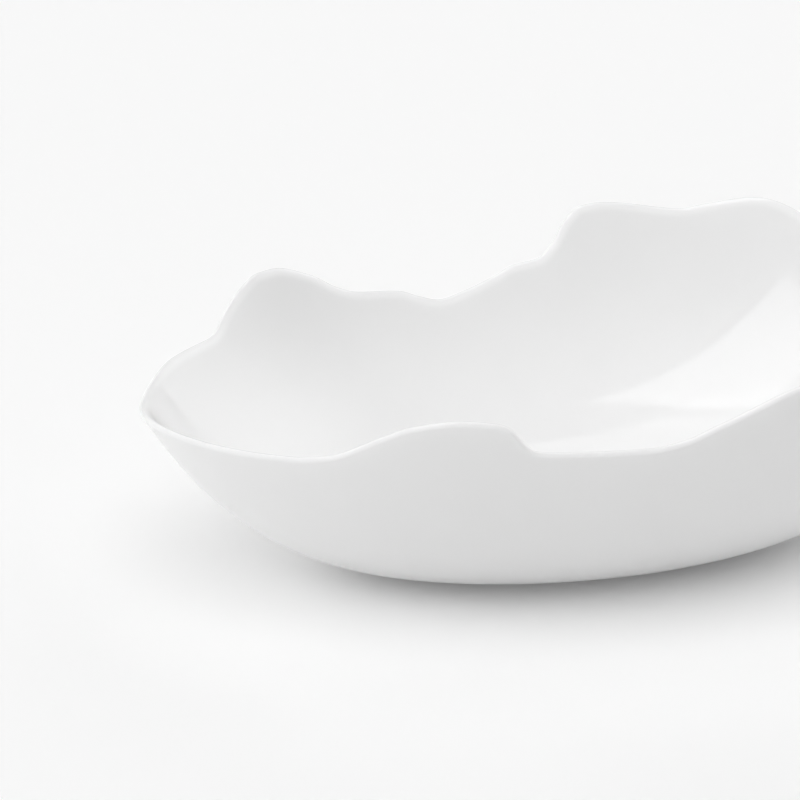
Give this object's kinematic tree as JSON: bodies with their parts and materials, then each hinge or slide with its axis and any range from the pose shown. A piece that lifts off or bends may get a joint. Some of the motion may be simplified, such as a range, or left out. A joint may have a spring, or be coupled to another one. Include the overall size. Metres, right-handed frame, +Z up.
{
  "type": "oval deep plate",
  "caption": "Oval deep plate in glazed porcelain with a free-form wavy rim, for serving food; it stands on an unglazed oval foot ring.",
  "frame": {"origin": "under the middle of the rim's outline, on the plane that the foot ring stands on", "axes": "+X along the plate towards the end with the higher crest, +Y across it towards the higher side, +Z up"},
  "size_m": [0.3202, 0.2194, 0.108],
  "materials": {
    "white_glaze": "clear gloss glaze over white porcelain",
    "bare_clay": "unglazed porcelain, ground smooth and matt"
  },
  "bodies": {
    "root": {"plate_body": "white_glaze", "foot_ring": "bare_clay"}
  },
  "joints": []
}
